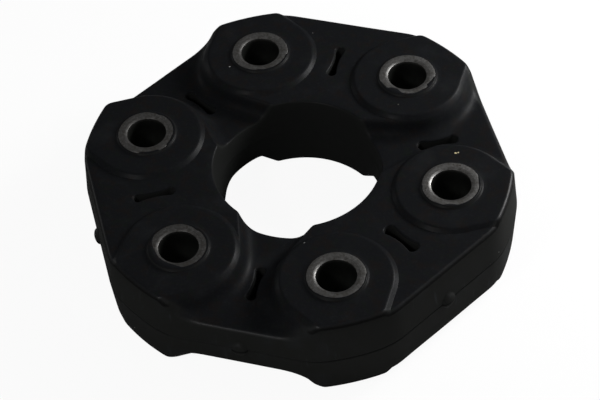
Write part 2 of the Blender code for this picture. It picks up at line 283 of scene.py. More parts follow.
bossStep = stepProfile(body["bossStart"], bossTop, body["driveTop"], body["bossRound"],
                       body["bossFillet"], body["bossSlope"])
valleyTurns = np.radians(np.linspace(body["valleySlope"], 0, meshing["valleyTurns"]))
valleyR = body["valleyFoot"] - body["valleyFillet"] * np.sin(valleyTurns)
valleyZ = body["coastTop"] + body["valleyFillet"] * (1 - np.cos(valleyTurns))
valleyPitch = math.tan(math.radians(body["valleySlope"]))

# each corner of the plan is a wide arc about the disc's centre, blended into its flats by smaller arcs
blendReach = body["cornerRadius"] - body["cornerBlend"]
blendSpread = math.degrees(math.acos((body["flatRadius"] - body["cornerBlend"]) / blendReach))
blendCentre = blendReach * direction(webAngle - blendSpread)


def reachFrom(x, y, firstTurn, lastTurn):
    # distance from the sleeve axis, measured square to a boss or valley edge between two turns (degrees)
    dx, dy = x - boltRadius, y
    turn = np.degrees(np.arctan2(dy, dx)) % 360
    inside = (turn >= firstTurn) & (turn <= lastTurn)
    first, last = direction(firstTurn), direction(lastTurn)
    straight = np.maximum(dx * first[0] + dy * first[1], dx * last[0] + dy * last[1])
    return np.where(inside, np.hypot(dx, dy), straight)


def bossReach(x, y):
    return reachFrom(x, y, body["bossFlare"], 360 - body["bossFlare"])


def valleyReach(x, y):
    return reachFrom(x, y, 360 - body["valleyTurn"], 360 - body["bossFlare"])


def wallPlace(x, y):
    # distance inside the outer wall, and the wall's normal there
    side = np.where(y < 0, -1.0, 1.0)
    dx, dy = x - blendCentre[0], y - side * blendCentre[1]
    turn = np.degrees(np.arctan2(dy * side, dx))
    web = direction(webAngle)
    nothing = 1e-9                                 # keeps the divisions off zero
    size = np.hypot(dx, dy) + nothing
    far = np.hypot(x, y) + nothing
    flat, corner = turn >= webAngle, turn <= webAngle - blendSpread
    inside = np.where(flat, body["flatRadius"] - (x * web[0] + y * side * web[1]),
                      np.where(corner, body["cornerRadius"] - far, body["cornerBlend"] - size))
    normalX = np.where(flat, web[0], np.where(corner, x / far, dx / size))
    normalY = np.where(flat, side * web[1], np.where(corner, y / far, dy / size))
    return inside, normalX, normalY


def outlinePoints(inset):
    # half of a corner's plan and its mirror image, from one web's middle line to the next
    fine, coarse = meshing["nubSpacing"], meshing["wallSpacing"]
    middle = (body["flatRadius"] - inset) * direction(webAngle)
    nubEdge = middle + direction(webAngle - 90) * body["nubRadius"] * meshing["nubReach"]
    tangent = blendCentre + (body["cornerBlend"] - inset) * direction(webAngle)
    half = straightPoints(middle, nubEdge, fine)
    half += straightPoints(nubEdge, tangent, coarse)[1:]
    for centre, radius, start, end in ((blendCentre, body["cornerBlend"], webAngle, webAngle - blendSpread),
                                       ((0, 0), body["cornerRadius"], webAngle - blendSpread, 0)):
        half += arcPoints(centre, radius - inset, start, end, math.degrees(coarse / radius))[1:]
    return half + [p * (1, -1) for p in reversed(half[:-1])]


def slitHalfWidth(along):
    # along the web's middle line, from the disc's centre
    share = np.abs(along - body["slitMiddle"]) / body["slitReach"]
    side = body["slitWaist"] + (body["slitEnd"] - body["slitWaist"]) * np.minimum(share, 1) ** 2
    past = np.maximum(share - 1, 0) * body["slitReach"]
    return np.where(share > 1, np.sqrt(np.maximum(body["slitEnd"] ** 2 - past ** 2, 0)), side)


def slitPoints(side):
    # a closed dog-bone on the web's middle line on one side of the sector
    half = body["slitReach"] + body["slitEnd"]
    along = body["slitMiddle"] - half * np.cos(np.linspace(0, math.pi, meshing["slitPoints"]))
    width = slitHalfWidth(along)
    width[0] = width[-1] = 0
    ahead, across = direction(side * webAngle), direction(side * webAngle + 90)
    upper = [a * ahead + w * across for a, w in zip(along, width)]
    lower = [a * ahead - w * across for a, w in zip(along, width)]
    return upper + lower[-2:0:-1]


def offsetLoop(points, distance):
    # a closed loop moved outwards
    points = np.array(points)
    ahead = np.roll(points, -1, 0) - np.roll(points, 1, 0)
    ahead /= np.linalg.norm(ahead, axis=1)[:, None]
    return list(points + distance * np.stack([-ahead[:, 1], ahead[:, 0]], 1))


def distanceToLoop(x, y, loop):
    points = np.array(loop)
    best = np.full(len(x), np.inf)
    for (sx, sy), (vx, vy) in zip(points, np.roll(points, -1, 0) - points):
        share = np.clip(((x - sx) * vx + (y - sy) * vy) / (vx * vx + vy * vy), 0, 1)
        best = np.minimum(best, np.hypot(x - sx - share * vx, y - sy - share * vy))
    return best


def insideLoop(x, y, loop):
    points = np.array(loop)
    inside = np.zeros(len(x), bool)
    for (ax, ay), (bx, by) in zip(points, np.roll(points, -1, 0)):
        crosses = (ay > y) != (by > y)
        if ay != by:
            inside ^= crosses & (x < (bx - ax) * (y - ay) / (by - ay) + ax)
    return inside


slits = [slitPoints(-1), slitPoints(1)]
seatRadius = sleeveRadius + body["seatGap"]


def roundOff(distance, radius):
    # how far a rounded edge has dropped, at a distance inside it
    rest = radius - np.clip(distance, 0, radius)
    return radius - np.sqrt(np.maximum(radius ** 2 - rest ** 2, 0))


def surfaceHeight(x, y):
    boss = np.interp(bossReach(x, y), *bossStep)
    reach = valleyReach(x, y)
    valley = np.interp(reach, valleyR, valleyZ) + np.maximum(valleyR[0] - reach, 0) * valleyPitch
    height = smoothMin(boss, valley, body["ledgeBlend"])
    seat = np.hypot(x - boltRadius, y)
    height += body["rampRise"] * (1 - smoothStep(seat, seatRadius, body["rampReach"]))
    height -= roundOff(wallPlace(x, y)[0], body["edgeRound"])
    height -= roundOff(np.hypot(x, y) - body["holeRadius"], body["holeRound"])
    height -= roundOff(seat - seatRadius, body["seatRound"])
    for slit in slits:
        height -= roundOff(distanceToLoop(x, y, slit), body["slitRound"])
    return height


def ringPoints(radius):
    step = meshing["ringTurn"]
    return arcPoints(sleeveAxis, radius, 0, 360 - step, step)


def edgeRows(radius, count):
    # distances from an edge at which rows of points follow its rounding
    turns = np.radians(np.linspace(0, 90, count))
    return radius * (1 - np.sin(turns))


def edgeLine(radius, firstTurn, lastTurn, firstRun, lastRun):
    # an arc about the sleeve with a straight tangent at each end
    spacing = meshing["straightSpacing"]
    curve = arcPoints(sleeveAxis, radius, firstTurn, lastTurn, meshing["ringTurn"])
    first = straightPoints(curve[0] + firstRun * direction(firstTurn - 90), curve[0], spacing)
    last = straightPoints(curve[-1], curve[-1] + lastRun * direction(lastTurn + 90), spacing)
    return first[:-1] + curve + last[1:]


def roundingLines():
    # lines along the rounded edges of the wall, the hole, the slits and the sleeve's seat
    lines = []
    for inset in edgeRows(body["edgeRound"], meshing["edgeRows"]):
        lines.append((outlinePoints(inset), False))
    for outset in edgeRows(body["holeRound"], meshing["holeRows"]):
        radius = body["holeRadius"] + outset
        lines.append((arcPoints((0, 0), radius, -webAngle, webAngle, meshing["holeTurn"]), False))
    for slit in slits:
        for outset in edgeRows(body["slitRound"], meshing["slitRows"]):
            lines.append((offsetLoop(slit, outset) if outset > 1e-6 else slit, True))
    for outset in edgeRows(body["seatRound"], meshing["seatRows"]):
        lines.append((ringPoints(seatRadius + outset), True))
    return lines


def featureLines():
    # polylines that the mesh follows, each a list of points and whether it closes
    lines = roundingLines() + [(ringPoints(radius), True) for radius in meshing["rings"]]
    flare, turn = body["bossFlare"], body["valleyTurn"]
    bossRun, valleyRun = meshing["bossRun"], meshing["valleyRun"]
    steps = len(bossStep[0])
    bossRows = np.interp(np.linspace(0, steps - 1, meshing["bossLines"]), range(steps), bossStep[0])
    for radius in bossRows:
        lines.append((edgeLine(radius, flare, 360 - flare, bossRun, bossRun), False))
    for radius in np.linspace(*meshing["valleySpan"], meshing["valleyLines"]):
        if radius > bossRows[-1]:
            lines.append((edgeLine(radius, 360 - turn, 360 - flare, valleyRun, bossRun), False))
        else:                                   # within a boss's step, only the straight part
            bend = sleeveAxis + radius * direction(-turn)
            far = bend + valleyRun * direction(-turn - 90)
            lines.append((straightPoints(bend, far, meshing["straightSpacing"]), False))
    for side in (-1, 1):
        start, end = (radius * direction(side * webAngle) for radius in meshing["middleSpan"])
        lines.append((straightPoints(start, end, meshing["middleSpacing"]), False))
    return lines


def fillPoints(taken):
    # a loose triangular grid over the flat stretches between the feature lines
    points = []
    taken = np.array(taken)
    spacing = meshing["fillSpacing"]
    for row, y in enumerate(np.arange(*meshing["fillAlong"], spacing * meshing["fillRow"])):
        for x in np.arange(*meshing["fillAcross"], spacing) + (row % 2) * spacing / 2:
            if np.min(np.hypot(taken[:, 0] - x, taken[:, 1] - y)) > meshing["fillClearance"]:
                points.append(np.array([x, y]))
    return points


def sectorTop():
    # vertices and faces of one sector's upper surface, seen from above
    points, edges = [], []
    for line, closed in featureLines():
        start = len(points)
        points += line
        edges += [(start + i, start + i + 1) for i in range(len(line) - 1)]
        if closed:
            edges.append((len(points) - 1, start))
    points += fillPoints(points)
    plan, _, triangles, *_ = delaunay_2d_cdt([Vector(p) for p in points], edges, [], 0, 1e-5)
    plan = np.array([tuple(p) for p in plan])
    triangles = np.array(triangles)
    x, y = plan[triangles].mean(1).T
    keep = np.abs(np.degrees(np.arctan2(y, x))) < webAngle
    holeEdge = body["holeRadius"] * math.cos(math.radians(meshing["holeChord"]))
    keep &= (wallPlace(x, y)[0] > 0) & (np.hypot(x, y) > holeEdge)
    keep &= ~insideLoop(x, y, ringPoints(seatRadius))
    for slit in slits:
        keep &= ~insideLoop(x, y, slit)
    triangles = triangles[keep]
    used = np.unique(triangles)
    lookup = np.full(len(plan), -1)
    lookup[used] = np.arange(len(used))
    plan, triangles = plan[used], lookup[triangles]
    for side in (-1, 1):                        # the seams lie exactly on the middle lines
        across = direction(side * webAngle + 90)
        off = plan @ across
        near = np.abs(off) < meshing["touching"]
        plan[near] -= off[near, None] * across
    return plan, triangles


def seamEdges(triangles):
    # edges with one face only, in the winding of that face
    seen = {edge: True for a, b, c in triangles for edge in ((a, b), (b, c), (c, a))}
    return [edge for edge in seen if (edge[1], edge[0]) not in seen]


def buildSector():
    plan, triangles = sectorTop()
    x, y = plan.T
    z = surfaceHeight(x, y)
    inside, normalX, normalY = wallPlace(x, y)
    lean = body["draft"] * (1 - z / bossTop) * np.clip(1 - inside / body["draftFade"], 0, 1) ** 2
    verts = [np.array(v) for v in np.stack([x + normalX * lean, y + normalY * lean, z], 1)]
    faces = [tuple(face) for face in triangles]
    borders = {"wall": [], "hole": [], "seat": [], "slit": []}
    for a, b in seamEdges(triangles):
        mx, my = (plan[a] + plan[b]) / 2
        offMiddle = min(abs(np.dot((mx, my), direction(side * webAngle + 90))) for side in (-1, 1))
        if offMiddle < meshing["touching"]:
            continue
        away = {
            "wall": abs(wallPlace(np.array([mx]), np.array([my]))[0][0]),
            "hole": abs(math.hypot(mx, my) - body["holeRadius"]),
            "seat": abs(math.hypot(mx - boltRadius, my) - seatRadius),
            "slit": min(distanceToLoop(np.array([mx]), np.array([my]), slit)[0] for slit in slits),
        }
        borders[min(away, key=away.get)].append((a, b))
    for name, rows in (("wall", wallRows), ("hole", holeRows), ("seat", seatRows), ("slit", slitRows)):
        hang(verts, faces, borders[name], plan, rows)
    return np.array(verts), faces


def hang(verts, faces, edges, plan, rows):
    # rows of quads down from a border of the upper surface
    ids = sorted({v for edge in edges for v in edge})
    x, y = plan[ids].T
    top = np.array([verts[i][2] for i in ids])
    for row in rows(x, y, top):
        below = {v: len(verts) + i for i, v in enumerate(ids)}
        verts.extend(np.array(p) for p in row)
        faces.extend((b, a, below[a], below[b]) for a, b in edges)
        edges = [(below[a], below[b]) for a, b in edges]
        ids = list(below.values())


def wallRows(x, y, top):
    _, normalX, normalY = wallPlace(x, y)
    side = np.where(y < 0, -1.0, 1.0)
    across = direction(webAngle + 90)
    fromMiddle = x * across[0] + y * side * across[1]
    nubTop = body["nubRadius"] * body["nubFoot"]
    levels = [top + (nubTop - top) * share for share in meshing["wallShares"]]
    levels += [np.full(len(x), z) for z in (nubTop, *meshing["wallLevels"], *meshing["seamLevels"])]
    for z in levels:
        radius = np.hypot(fromMiddle, z) / body["nubRadius"]
        nub = body["nubProud"] * np.sqrt(np.clip(1 - radius ** 2, 0, 1)) ** body["nubFullness"]
        seam = body["seamDepth"] * np.clip(1 - z / body["seamWidth"], 0, 1) * (nub < 0.05)
        out = body["draft"] * (1 - z / bossTop) + nub - seam
        yield np.stack([x + normalX * out, y + normalY * out, z], 1)


def holeRows(x, y, top):
    far = np.hypot(x, y)
    for share, proud in ((0.7, 0), (0.35, 0), (0.02, 0), (0, body["holeFlash"])):
        scale = (far - proud) / far
        yield np.stack([x * scale, y * scale, top * share], 1)


def seatRows(x, y, top):
    for share in (0.6, 0):
        yield np.stack([x, y, top * share], 1)


def slitRows(x, y, top):
    for share in (0.5, 0):
        yield np.stack([x, y, body["slitFloor"] + (top - body["slitFloor"]) * share], 1)


unevenness = {                 # in mm
    "wide": 0.10,
    "wideSize": 17.0,
    "wallDepth": 2,            # the outer wall's unevenness reaches this far in from the flats
    "hollowDepth": 1.5,        # the top's unevenness reaches this far down from a coast web's top
    "seatClear": (10, 3),      # none inside this radius about a sleeve, full this much further out
    "seamWaves": ((0.16, 9.0, 1.0), (0.12, 6.5, 2.2)),   # along x and along y: height, length, start
    "seamFade": 7,             # the waves end this far above and below the parting line
    "slitSpread": (0.32, 0.0, 0.22, 0.05, 0.1, 0.5),     # web by web from 30 degrees: some slits stand open
    "spreadAcross": (1.4, 4.5),    # from the middle line: full spread, and none left
    "spreadAlong": (4.5, 8.0),     # from the slit's middle: the spread begins to fade, and none is left
}


def buildRubber():
    sectorVerts, sectorFaces = buildSector()
    print("one sector:", len(sectorVerts), "vertices")
    verts, faces = [], []
    for i in range(sleeveCount):
        cosine, sine = direction(i * sector)
        spin = np.array([[cosine, -sine, 0], [sine, cosine, 0], [0, 0, 1]])
        for flip in (1, -1):
            mirror = -1 if i % 2 == 0 else 1         # coast webs lie on turns of 30, 150 and 270 degrees
            placed = (sectorVerts * (1, mirror, flip)) @ spin.T
            start = sum(len(part) for part in verts)
            verts.append(placed)
            wind = 1 if mirror * flip > 0 else -1
            faces += [tuple(start + v for v in face[::wind]) for face in sectorFaces]
    rubber = bmesh.new()
    made = [rubber.verts.new(v) for v in np.concatenate(verts)]
    for face in faces:
        rubber.faces.new([made[v] for v in face])
    bmesh.ops.remove_doubles(rubber, verts=rubber.verts, dist=meshing["merging"])
    bmesh.ops.dissolve_degenerate(rubber, edges=rubber.edges, dist=meshing["touching"])
    openEdges = [edge for edge in rubber.edges if len(edge.link_faces) == 1]
    bmesh.ops.holes_fill(rubber, edges=openEdges, sides=0)
    print("open edges closed:", len(openEdges), "left:", sum(len(e.link_faces) != 2 for e in rubber.edges))
    for vert in rubber.verts:
        shape(vert)
    bmesh.ops.triangulate(rubber, faces=[face for face in rubber.faces if len(face.verts) > 4])
    coords = [vert.co[:] for vert in rubber.verts]
    rubber.verts.index_update()
    polygons = [[vert.index for vert in face.verts] for face in rubber.faces]
    rubber.free()
    return makeObject("rubberMoulding", coords, polygons, smoothAngle=body["smoothAngle"])


def shape(vert):
    # soft unevenness of the moulded surface, and a parting line that wanders up and down
    x, y, z = vert.co
    far = math.hypot(x, y)
    web = int(math.degrees(math.atan2(y, x)) // sector) % sleeveCount
    ahead, across = direction(web * sector + webAngle), direction(web * sector + webAngle + 90)
    along, off = x * ahead[0] + y * ahead[1], x * across[0] + y * across[1]
    spread = unevenness["slitSpread"][web]
    spread *= float(np.interp(abs(off), (0, *unevenness["spreadAcross"]), (0, 1, 0)))
    spread *= 1 - float(smoothStep(abs(along - body["slitMiddle"]), *unevenness["spreadAlong"]))
    vert.co.x += across[0] * math.copysign(spread, off)
    vert.co.y += across[1] * math.copysign(spread, off)
    where = Vector((x, y, z)) / unevenness["wideSize"]
    lift = noise.noise(where) * unevenness["wide"]
    if far > body["flatRadius"] - unevenness["wallDepth"]:
        wave = sum(size * math.sin(level / length + start)
                   for level, (size, length, start) in zip((x, y), unevenness["seamWaves"]))
        vert.co.z += wave * max(0, 1 - abs(z) / unevenness["seamFade"])
        vert.co.x += x / far * lift
        vert.co.y += y / far * lift
    elif abs(z) > body["coastTop"] - unevenness["hollowDepth"]:
        seat = min((Vector((x, y)) - Vector(axis)).length for axis in sleeveAxes)
        clear, fade = unevenness["seatClear"]
        vert.co.z += math.copysign(lift * min(1, max(0, seat - clear) / fade), z)


sleeveAxes = [tuple(boltRadius * direction(i * sector)) for i in range(sleeveCount)]

rubberLook = {
    # colours
    "top": (0.0057, 0.0061, 0.0070, 1),
    "brown": (0.0070, 0.0062, 0.0062, 1),
    "green": (0.0058, 0.0069, 0.0064, 1),
    "side": (0.0108, 0.0112, 0.0105, 1),
    "bloom": (0.0145, 0.0158, 0.0172, 1),    # faint grey bloom and dust
    "scuffAndSheen": (0.021, 0.023, 0.0245, 1),
    # scuffs on the outer wall, partly painted sheen
    "speck": (0.5, 0.49, 0.46, 1),
    "paintedShade": (0.0012, 0.0012, 0.0013, 1),     # painted shade: a dark line on the outer edge's bend and in the parting line
    "holeWall": (0.0115, 0.0120, 0.0115, 1),
    # painted light on the slits' deep walls
    "slitWallPaintedLight": (0.014, 0.0145, 0.014, 1),
    # shine
    "roughness": 0.7,
    "specular": 0.01,
    "polish": 0.085,                         # coat on the faces that hands and tools have rubbed
    "wallPolish": 0.012,
    "rimPolish": 0.22,
    "valleyPolish": 0.6,                     # shares of the polish and of the rim's that valleys keep
    "valleyRim": 0.35,
    "polishRoughness": 0.36,
    # places in mm, from where a finish sets in to where it is full
    "rimPlace": (-1.95, -1.25),              # from the outer wall, outwards
    "paintedShadePlace": (-1.0, -0.6),
    "sidePlace": (-2.6, -1.4),
    "slitPlace": (-11, -9),
    "holePlace": (0.5, 1.3),                 # from the hole's wall, outwards
    "highPlace": (11.2, 12.0),               # from the middle plane
    "valleyHeight": 9.3,
    "valleyPlace": (1.3, 2.3),               # from the valleys' height, up and down
    "groovePlace": (0.1, 0.36),              # from the parting line
    # grains: size in mm, detail, roughness
    "cloudGrain": (11, 4, 0.6),
    "fineGrain": (0.8, 3, 0.65),
    "brownGrain": (3.2, 3, 0.6),
    "greenGrain": (2.4, 2, 0.6),
    "scuffAndSheenGrain": (2.2, 3, 0.6),
    "speckGrain": (1.6, 1, 0.4),
    "swellGrain": (6, 2, 0.5),
    "skinGrain": (0.35, 3, 0.6),
    # levels of a grain, from where a mark sets in to where it is full
    "brownLevel": (0.50, 0.64),
    "greenLevel": (0.54, 0.68),
    "bloomLevel": (0.5, 0.78),
    "dustLevel": (0.52, 0.8),
    "scuffAndSheenLevel": (0.62, 0.78),
    "speckLevel": (0.83, 0.86),
    "spots": (                               # crumbs and scuffs: place, radius, colour
        ((-31.7, 33.6, 14.2), 0.24, (0.22, 0.22, 0.22, 1)),
        ((11.4, -31.2, 14.2), 0.26, (0.12, 0.12, 0.12, 1)),
        ((24.3, 29.2, 14.2), 0.2, (0.08, 0.08, 0.07, 1)),
        ((46.2, 13.2, 14.2), 0.36, (0.4, 0.34, 0.2, 1)),
        ((46.9, 13.6, 14.2), 0.26, (0.4, 0.35, 0.22, 1)),
        ((65.2, -13.0, 11.0), 0.35, (0.2, 0.2, 0.17, 1)),
    ),
}


def reachOutward(rubber, x, y, far):
    # how far outside the plan's corners and flats, edge to edge
    outward = far - body["cornerRadius"] * mm
    for web in range(3):
        ahead = direction(webAngle + web * sector)
        flat = rubber.unsigned(x * ahead[0] + y * ahead[1]) - body["flatRadius"] * mm
        outward = rubber.node("ShaderNodeMath", {"operation": "MAXIMUM"}, {0: outward, 1: flat})
    return outward


def partingGroove(rubber, x, y, z):
    # 1 in the wandering parting line, where painted shade is laid
    line = z
    for level, (size, length, start) in zip((x, y), unevenness["seamWaves"]):
        swing = rubber.node("ShaderNodeMath", {"operation": "SINE"}, {0: level * (1 / (length * mm)) + start})
        line = line - swing * (size * mm)
    return 1 - rubber.past(rubber.unsigned(line), *rubberLook["groovePlace"])


def rubberFinish():
    look = rubberLook
    rubber = Recipe("mouldedRubber", Specular_IOR_Level=look["specular"],
                    Coat_Roughness=look["polishRoughness"])
    x, y, z = rubber.axes(rubber.place())
    height = rubber.unsigned(z)
    normal = rubber.node("ShaderNodeNewGeometry", {}, {}, "Normal")
    facing = rubber.unsigned(rubber.node("ShaderNodeSeparateXYZ", {}, {0: normal}, 2))
    upward = rubber.above(facing, 0.5, 0.95)
    far = (x * x + y * y) ** 0.5
    outward = reachOutward(rubber, x, y, far)
    outer = rubber.past(outward, *look["sidePlace"])
    cloud = rubber.grain(*look["cloudGrain"])
    fine = rubber.grain(*look["fineGrain"])

    # top, sides and their stains, and wall scuffs that are partly painted sheen
    brown = rubber.above(rubber.grain(*look["brownGrain"], rubber.shifted(0.4)), *look["brownLevel"])
    green = rubber.above(rubber.grain(*look["greenGrain"], rubber.shifted(0.9)), *look["greenLevel"])
    colour = rubber.mix(green, rubber.mix(brown, look["top"], look["brown"]), look["green"])
    colour = rubber.mix(outer * (1 - upward), colour, look["side"])
    bloom = rubber.above(cloud, *look["bloomLevel"]) * (0.5 - upward * 0.15)
    colour = rubber.mix(bloom, colour, look["bloom"])
    colour = rubber.mix(rubber.above(fine, *look["dustLevel"]) * 0.42, colour, look["bloom"])
    # scuffs drawn out upright on the outer wall, lightened partly as painted sheen streaks
    scuffAndSheenPlace = rubber.node("ShaderNodeCombineXYZ", {}, {0: x, 1: y, 2: z * 0.16})     # drawn out upright
    scuffAndSheen = rubber.above(rubber.grain(*look["scuffAndSheenGrain"], scuffAndSheenPlace), *look["scuffAndSheenLevel"])
    colour = rubber.mix(scuffAndSheen * (1 - upward) * outer * 0.7, colour, look["scuffAndSheen"])

    # the outer edge's bend darkened as painted shade, the walls inside the slits lightened as painted light,
    # the hole's wall, painted shade in the parting line
    # painted shade: a dark line where the top bends down into the outer wall
    bend = rubber.above(facing, 0.08, 0.3) * (1 - rubber.above(facing, 0.62, 0.86))
    paintedShade = bend * rubber.past(outward, *look["paintedShadePlace"]) * rubber.past(height, *look["highPlace"])
    colour = rubber.mix(paintedShade * 0.75, colour, look["paintedShade"])
    # painted light: the deep walls inside the slits are lightened
    slitLightShare = (1 - rubber.past(outward, *look["slitPlace"])) * (1 - rubber.above(facing, 0.15, 0.4))
    colour = rubber.mix(slitLightShare, colour, look["slitWallPaintedLight"])
    middle = 1 - rubber.past(far, *(body["holeRadius"] + level for level in look["holePlace"]))
    colour = rubber.mix(middle * (1 - upward), colour, look["holeWall"])
    # painted shade in the parting groove
    colour = rubber.mix(partingGroove(rubber, x, y, z) * outer * 0.8, colour, look["paintedShade"])

    # specks and crumbs
    speck = rubber.above(rubber.grain(*look["speckGrain"]), *look["speckLevel"])
    colour = rubber.mix(speck * 0.4, colour, look["speck"])
    for spot, radius, shade in look["spots"]:
        crumb = 1 - rubber.past(rubber.apart(spot), radius * 0.7, radius * 1.2)
        colour = rubber.mix(crumb, colour, shade)
    rubber.feed("Base Color", colour)

    # polish: more on the top and the rim, less in the valleys
    rim = rubber.past(outward, *look["rimPlace"])
    rim = rim * rubber.above(facing, 0.45, 0.7) * (1 - rubber.above(facing, 0.95, 0.99))
    spared = rubber.past(rubber.unsigned(height - look["valleyHeight"] * mm), *look["valleyPlace"])
    rim = rim * (look["valleyRim"] + (1 - look["valleyRim"]) * spared)
    polish = look["wallPolish"] + rubber.above(facing, 0.2, 0.6) * (look["polish"] - look["wallPolish"])
    polish = polish * (look["valleyPolish"] + (1 - look["valleyPolish"]) * spared)
    polish = polish + rim * (look["rimPolish"] - look["polish"])
    rubber.feed("Coat Weight", polish * (0.7 + cloud * 0.4 + (fine - 0.5) * 0.7))
    rubber.feed("Roughness", look["roughness"] + (cloud - 0.5) * 0.12 + (fine - 0.5) * 0.1)
    swell = rubber.bump(rubber.grain(*look["swellGrain"]), 0.12, 0.6)
    rubber.feed("Normal", rubber.bump(rubber.grain(*look["skinGrain"]), 0.02, 0.5, swell))
    return rubber.material


sleeve = {
    "bore": 6.05,
    "lip": 0.9,                # the bore's bevelled lip, across the end face
    "lipDeep": 0.34,
    "lipCurve": ((0.02, 0.93), (0.1, 0.8), (0.5, 0.38), (0.84, 0.07), (1, 0)),   # shares across and down
    "edgeRound": 0.22,
    "edgeTurns": (0, 30, 60, 90),
    "steps": 96,
}


def wrapFaces(steps, count):
    # quads between closed sections of count points each, all the way round
    faces = []
    for i in range(steps):
        here, there = i * count, (i + 1) % steps * count
        for j in range(count):
            k = (j + 1) % count
            faces.append((here + j, there + j, there + k, here + k))
    return faces


def turnedMesh(profile, steps):
    # a closed turned piece from a closed profile of radius and height
    verts = []
    for i in range(steps):
        ahead = direction(360 * i / steps)
        verts += [(radius * ahead[0], radius * ahead[1], z) for radius, z in profile]
    return verts, wrapFaces(steps, len(profile))


def sleeveProfile():
    bore, outer, top, edge = sleeve["bore"], sleeveRadius, sleeveTop, sleeve["edgeRound"]
    half = [(bore, top * 0.5), (bore, top - sleeve["lipDeep"] - 0.05)]
    half += [(bore + sleeve["lip"] * across, top - sleeve["lipDeep"] * down)
             for across, down in sleeve["lipCurve"]]
    half += [(bore + (outer - bore) * 0.6, top)]
    half += [(outer - edge * (1 - math.sin(turn)), top - edge * (1 - math.cos(turn)))
             for turn in np.radians(sleeve["edgeTurns"])]
    half += [(outer, top * 0.5)]
    return half + [(radius, -z) for radius, z in reversed(half)]


sleeveLook = {
    "face": (0.16, 0.158, 0.154, 1),
    "bright": (0.42, 0.41, 0.4, 1),
    "stain": (0.06, 0.055, 0.048, 1),
    # painted shade near the bore's mouth, and painted light deeper in
    "paintedBoreShade": (0.03, 0.032, 0.029, 1),
    "paintedBoreLight": (0.15, 0.16, 0.145, 1),
    "roughness": 0.42,
    "tones": (0.76, 0.83, 0.74, 0.59, 0.50, 0.67),   # sleeve by sleeve: a factor on the end face's colour
    # grains: size in mm, detail, roughness, and levels from where a mark sets in to where it is full
    "turningGrain": (0.18, 2, 0.5),
    "blotchGrain": (2.2, 3, 0.6),
    "crumbGrain": (0.8, 2, 0.6),
    "turningLevel": (0.4, 0.7),
    "blotchLevel": (0.48, 0.66),
    "crumbLevel": (0.45, 0.7),
    "glintLevel": (0.52, 0.72),
    # places in mm
    "mouth": (1.6, 0.3),                             # below the end face: the bore's painted shade is full, and has not begun
    "paintedBoreShading": (3, 12.5),                               # from the middle plane: painted light gives way to painted shade in the bore
    "boreEdge": (0.02, 0.10),                        # from the bore's wall, outwards
    "lipEdge": (-0.35, 0.1),                         # from the lip's outer edge, outwards
    "lipLine": (0.12, 0.14),                         # width of the dark line on either side of that edge
    "pits": {                                        # dark pits in an end face: turn, radius, size
        1: ((-155, 7.7, 0.32), (-149, 8.05, 0.22), (84, 7.9, 0.34), (91, 7.5, 0.28), (99, 7.85, 0.24)),
        3: ((118, 8.1, 0.2),),
        4: ((62, 7.6, 0.22),),
        6: ((-72, 7.3, 0.3),),
    },
}


def sleeveFinish(number):
    look, bore, lip = sleeveLook, sleeve["bore"], sleeve["bore"] + sleeve["lip"]
    tone = look["tones"][number - 1]
    face = (*(level * tone for level in look["face"][:3]), 1)
    steel = Recipe(f"sleeveSteel{number}", Metallic=1.0)
    x, y, z = steel.axes(steel.place())
    radius = (x * x + y * y) ** 0.5
    height = steel.unsigned(z)
    rings = steel.node("ShaderNodeCombineXYZ", {}, {0: radius, 1: z, 2: 0.0})
    turning = steel.grain(*look["turningGrain"], rings)
    blotch = steel.grain(*look["blotchGrain"])
    crumb = steel.grain(*look["crumbGrain"])
    inside = 1 - steel.past(radius, *(bore + level for level in look["boreEdge"]))
    slope = (1 - steel.past(radius, *(lip + level for level in look["lipEdge"]))) * (1 - inside)

    # the end face: turned rings, stains, bright crumbs and a dark line round the lip
    shine = slope * 0.12 + steel.above(turning, *look["turningLevel"]) * 0.1
    colour = steel.mix(shine, face, look["bright"])
    colour = steel.mix(steel.above(blotch, *look["blotchLevel"]) * 0.62, colour, look["stain"])
    colour = steel.mix(steel.above(crumb, *look["crumbLevel"]) * 0.42, colour, look["stain"])
    colour = steel.mix(steel.above(1 - crumb, *look["glintLevel"]) * 0.16, colour, look["bright"])
    before, after = look["lipLine"]
    line = steel.past(radius, lip - before, lip) * (1 - steel.past(radius, lip, lip + after))
    colour = steel.mix(line * (0.25 + blotch * 0.5), colour, look["stain"])
    for turn, away, size in look["pits"].get(number, ()):
        apart = steel.apart((*(direction(turn) * away), sleeveTop))
        colour = steel.mix(1 - steel.past(apart, size * 0.6, size * 1.2), colour, look["stain"])

    # the bore: painted shade below its mouth, painted light towards the middle
    deep = 1 - steel.past(height, *(sleeveTop - level for level in look["mouth"]))
    paintedBoreShading = steel.mix(steel.past(height, *look["paintedBoreShading"]), look["paintedBoreLight"], look["paintedBoreShade"])
    colour = steel.mix(inside * deep * 0.9, colour, paintedBoreShading)
    steel.feed("Base Color", colour)
    steel.feed("Roughness", look["roughness"] + blotch * 0.15 - slope * 0.12)
    steel.feed("Normal", steel.bump(turning, 0.015, 0.5))
    return steel.material


